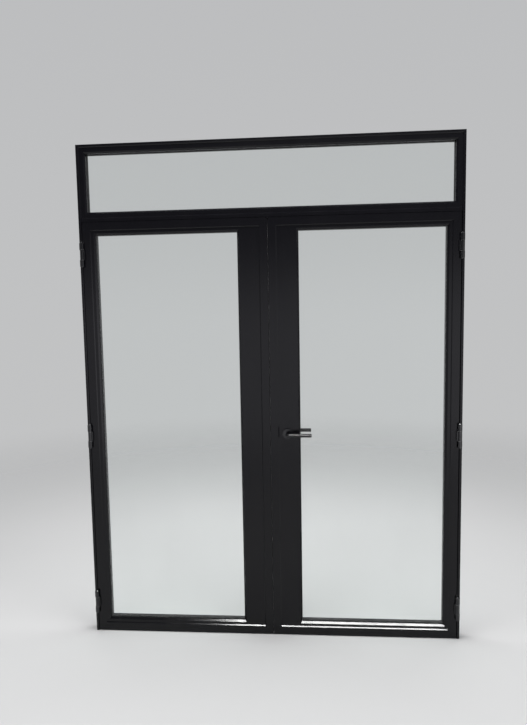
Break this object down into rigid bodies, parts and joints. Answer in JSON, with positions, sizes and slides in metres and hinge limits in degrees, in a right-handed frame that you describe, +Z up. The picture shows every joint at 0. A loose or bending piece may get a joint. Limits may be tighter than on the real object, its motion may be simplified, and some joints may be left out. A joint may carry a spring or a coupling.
{
  "type": "glazed double door",
  "caption": "Glazed double entrance door in a slim dark metal frame, with a fixed light above, lever handle, latch, flush bolts and barrel hinges.",
  "frame": {"origin": "middle of the door's width, in the plane of the frame's front face, at the frame's foot", "axes": "+X across to the lever's leaf, +Y from the front face into the depth of the frame, +Z up"},
  "size_m": [1.88, 0.1546, 2.5],
  "materials": {
    "dark_powder_coat": "satin",
    "black_fitting": "satin",
    "clear_glass": "clear",
    "black_rubber": "matt",
    "glazing_block": "matt",
    "cast_cleat": "cast",
    "steel_plate": "brushed",
    "plated_steel": "plated"
  },
  "bodies": {
    "frame": {"jamb_left": "dark_powder_coat", "jamb_right": "dark_powder_coat", "frame_head": "dark_powder_coat", "transom_bar": "dark_powder_coat", "bolt_keep": "steel_plate", "frame_cleats": "cast_cleat", "transom_glass": "clear_glass", "transom_bead_top": "dark_powder_coat", "transom_bead_bottom": "dark_powder_coat", "transom_bead_left": "dark_powder_coat", "transom_bead_right": "dark_powder_coat", "transom_gaskets": "black_rubber", "transom_setting_blocks": "glazing_block", "stop_seals": "black_rubber", "hinge_frame_knuckles": "black_fitting", "hinge_pins": "black_fitting"},
    "left_leaf": {"left_hinge_stile": "dark_powder_coat", "left_meeting_stile": "dark_powder_coat", "left_top_rail": "dark_powder_coat", "left_bottom_rail": "dark_powder_coat", "left_lock_panel": "dark_powder_coat", "left_glass": "clear_glass", "left_bead_top": "dark_powder_coat", "left_bead_bottom": "dark_powder_coat", "left_bead_hinge": "dark_powder_coat", "left_bead_lock": "dark_powder_coat", "left_gaskets": "black_rubber", "left_setting_blocks": "glazing_block", "left_corner_cleats": "cast_cleat", "left_hinge_knuckles": "black_fitting", "left_seals": "black_rubber", "strike_plate": "steel_plate", "flush_bolt_housings": "steel_plate"},
    "right_leaf": {"right_hinge_stile": "dark_powder_coat", "right_meeting_stile": "dark_powder_coat", "right_top_rail": "dark_powder_coat", "right_bottom_rail": "dark_powder_coat", "right_lock_panel": "dark_powder_coat", "right_glass": "clear_glass", "right_bead_top": "dark_powder_coat", "right_bead_bottom": "dark_powder_coat", "right_bead_hinge": "dark_powder_coat", "right_bead_lock": "dark_powder_coat", "right_gaskets": "black_rubber", "right_setting_blocks": "glazing_block", "right_corner_cleats": "cast_cleat", "right_hinge_knuckles": "black_fitting", "right_seals": "black_rubber", "lock_case": "steel_plate", "rose_outer": "black_fitting", "rose_inner": "black_fitting", "rose_bolts": "plated_steel"},
    "lever": {"lever_outer": "black_fitting", "lever_inner": "black_fitting", "spindle": "plated_steel", "lock_follower": "plated_steel"},
    "latch": {"latch_bolt": "steel_plate"},
    "top_bolt": {"flush_bolt_top": "plated_steel"},
    "bottom_bolt": {"flush_bolt_bottom": "plated_steel"}
  },
  "joints": [
    {"name": "right_leaf_swing", "type": "hinge", "parent": "frame", "child": "right_leaf", "pos_m": [0.925, -0.0095, 0], "axis": [0, 0, 1], "range_deg": [0, 110]},
    {"name": "left_leaf_swing", "type": "hinge", "parent": "frame", "child": "left_leaf", "pos_m": [-0.925, -0.0095, 0], "axis": [0, 0, -1], "range_deg": [0, 110]},
    {"name": "lever_turn", "type": "hinge", "parent": "right_leaf", "child": "lever", "pos_m": [0.085, 0.026, 1.056], "axis": [0, 1, 0], "range_deg": [0, 45], "stiffness_Nm_per_rad": 1.2, "springref_deg": -28.65},
    {"name": "latch_slide", "type": "slide", "parent": "right_leaf", "child": "latch", "axis": [1, 0, 0], "range_m": [0, 0.012]},
    {"name": "top_bolt_slide", "type": "slide", "parent": "left_leaf", "child": "top_bolt", "axis": [0, 0, 1], "range_m": [0, 0.018]},
    {"name": "bottom_bolt_slide", "type": "slide", "parent": "left_leaf", "child": "bottom_bolt", "axis": [0, 0, -1], "range_m": [0, 0.013]}
  ],
  "couplings": [
    {"joint": "latch_slide", "follows": "lever_turn", "m_per_rad": 0.01527}
  ]
}
